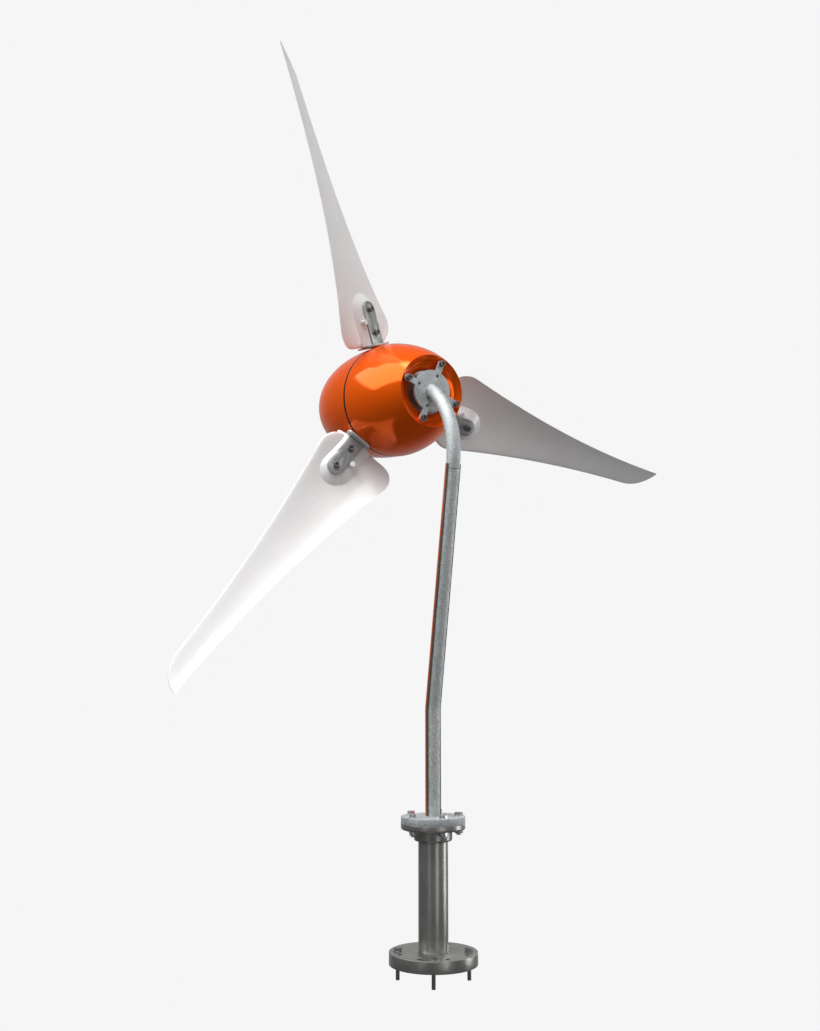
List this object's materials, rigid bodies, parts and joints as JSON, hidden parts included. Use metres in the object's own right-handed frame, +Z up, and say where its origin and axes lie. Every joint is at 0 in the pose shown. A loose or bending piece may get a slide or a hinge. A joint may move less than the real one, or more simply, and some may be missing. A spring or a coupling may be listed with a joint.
{
  "type": "small wind turbine",
  "caption": "Small downwind wind turbine: flanged standpipe, swivelling bent mast with fairing, egg-shaped nacelle and three twisted blades",
  "frame": {"origin": "centre of the base flange's underside, on the swivel axis", "axes": "+Z up along the swivel axis; the nose of the nacelle points along -Y at rest; +X is to the right when looking along +Y"},
  "size_m": [1.631, 0.6305, 2.4686],
  "materials": {
    "dark_steel": "dark satin",
    "fasteners": "zinc plated",
    "dark_screws": "black oxide",
    "turned_steel": "turned",
    "bearing_steel": "ground",
    "slip_ring": "moulded",
    "seal": "matte",
    "galvanised": "galvanised",
    "orange_sheet": "gloss",
    "orange_paint": "high gloss",
    "laminations": "stacked sheet",
    "copper": "enamelled",
    "magnet": "nickel",
    "bracket_grey": "satin",
    "blade_white": "satin"
  },
  "bodies": {
    "base": {"base_flange": "dark_steel", "standpipe": "dark_steel", "anchor_bolts": "fasteners", "anchor_washers": "fasteners", "yaw_spindle": "dark_steel", "yaw_inner_races": "bearing_steel", "yaw_balls": "bearing_steel", "inner_spacer": "turned_steel", "yaw_lock_nut": "turned_steel", "slip_ring_body": "slip_ring"},
    "yaw_head": {"yaw_hub": "dark_steel", "yaw_outer_races": "bearing_steel", "outer_spacer": "turned_steel", "bearing_retainer": "turned_steel", "yaw_seal": "seal", "slip_ring_rotor": "slip_ring", "mast_flange": "galvanised", "flange_bolts": "fasteners", "flange_nuts": "fasteners", "mast_pipe": "galvanised", "mast_elbow": "galvanised", "mast_fairing": "orange_sheet", "fairing_rivets": "fasteners", "mounting_plate": "galvanised", "lug_screws": "dark_screws", "rear_cover": "orange_paint", "generator_rear_bell": "dark_steel", "generator_case": "dark_steel", "generator_front_bell": "dark_steel", "generator_screws": "fasteners", "stator_core": "laminations", "stator_coils": "copper", "generator_outer_races": "bearing_steel", "shaft_seal": "seal"},
    "rotor": {"rotor_shaft": "turned_steel", "generator_inner_races": "bearing_steel", "generator_balls": "bearing_steel", "magnet_carrier": "laminations", "magnets": "magnet", "rotor_hub": "dark_steel", "hub_washer": "fasteners", "hub_nut": "fasteners", "blade_foot_a": "bracket_grey", "blade_foot_b": "bracket_grey", "blade_foot_c": "bracket_grey", "blade_plates_a": "bracket_grey", "blade_plates_b": "bracket_grey", "blade_plates_c": "bracket_grey", "blade_a": "blade_white", "blade_b": "blade_white", "blade_c": "blade_white", "blade_screws": "dark_screws", "blade_nuts": "fasteners", "nose_cover": "orange_paint", "nose_post": "turned_steel", "nose_screw": "fasteners"}
  },
  "joints": [
    {"name": "yaw", "type": "hinge", "parent": "base", "child": "yaw_head", "pos_m": [0, 0, 0.32], "axis": [0, 0, 1], "continuous": true},
    {"name": "rotor_spin", "type": "hinge", "parent": "yaw_head", "child": "rotor", "pos_m": [0, 0, 1.48], "axis": [0, -0.9973, 0.0732], "continuous": true}
  ]
}
